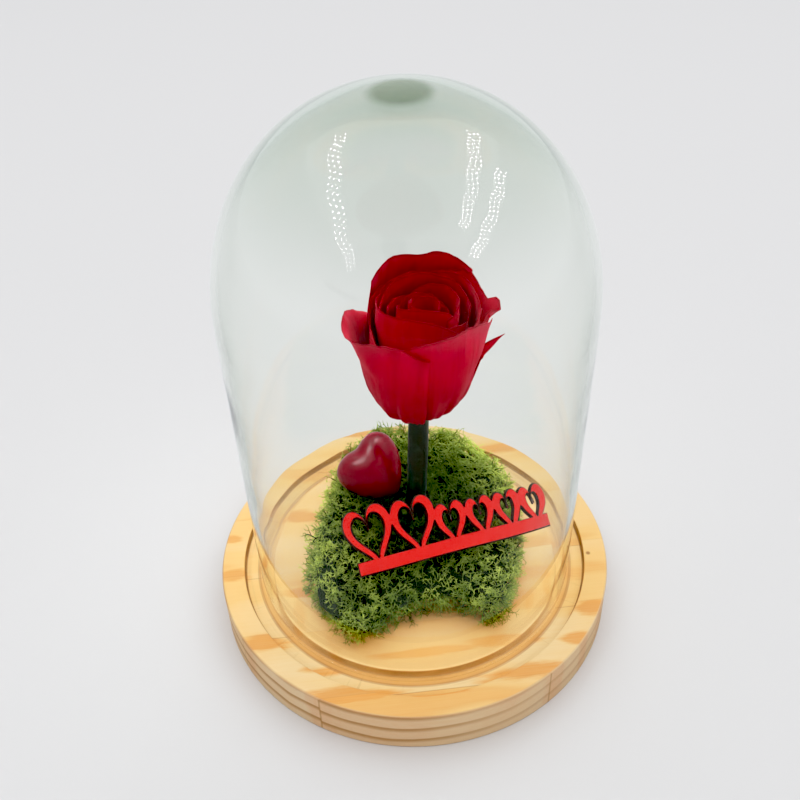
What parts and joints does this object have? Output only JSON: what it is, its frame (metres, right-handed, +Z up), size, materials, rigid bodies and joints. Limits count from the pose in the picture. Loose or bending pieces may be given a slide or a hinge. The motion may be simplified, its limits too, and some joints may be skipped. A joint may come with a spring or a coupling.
{
  "type": "preserved rose in glass dome",
  "caption": "Red preserved rose on a dark stem in a clump of moss with a glossy heart and a red cut-out ornament, under a clear glass dome on a round grooved wooden base.",
  "frame": {"origin": "centre of the wooden base's underside", "axes": "+Z up, -Y to the front, the side the ornament faces, +X to the right seen from the front"},
  "size_m": [0.17, 0.17, 0.2313],
  "materials": {
    "pine": "sanded, pale, satin",
    "glass": "clear, gloss",
    "moss": "preserved moss, matte",
    "stem_green_black": "dark green-black, satin",
    "petal_red": "preserved petal, velvet matte",
    "heart_red": "dark red, high gloss",
    "ornament_red": "red painted face, dark burnt edges"
  },
  "bodies": {
    "root": {"wood_base": "pine", "glass_dome": "glass", "moss_clump": "moss", "stem": "stem_green_black", "glossy_heart": "heart_red", "cutout_ornament": "ornament_red", "petal_01": "petal_red", "petal_02": "petal_red", "petal_03": "petal_red", "petal_04": "petal_red", "petal_05": "petal_red", "petal_06": "petal_red", "petal_07": "petal_red", "petal_08": "petal_red", "petal_09": "petal_red", "petal_10": "petal_red", "petal_11": "petal_red", "petal_12": "petal_red", "petal_13": "petal_red", "petal_14": "petal_red", "petal_15": "petal_red", "petal_16": "petal_red", "petal_17": "petal_red", "petal_18": "petal_red", "petal_19": "petal_red", "petal_20": "petal_red"}
  },
  "joints": []
}
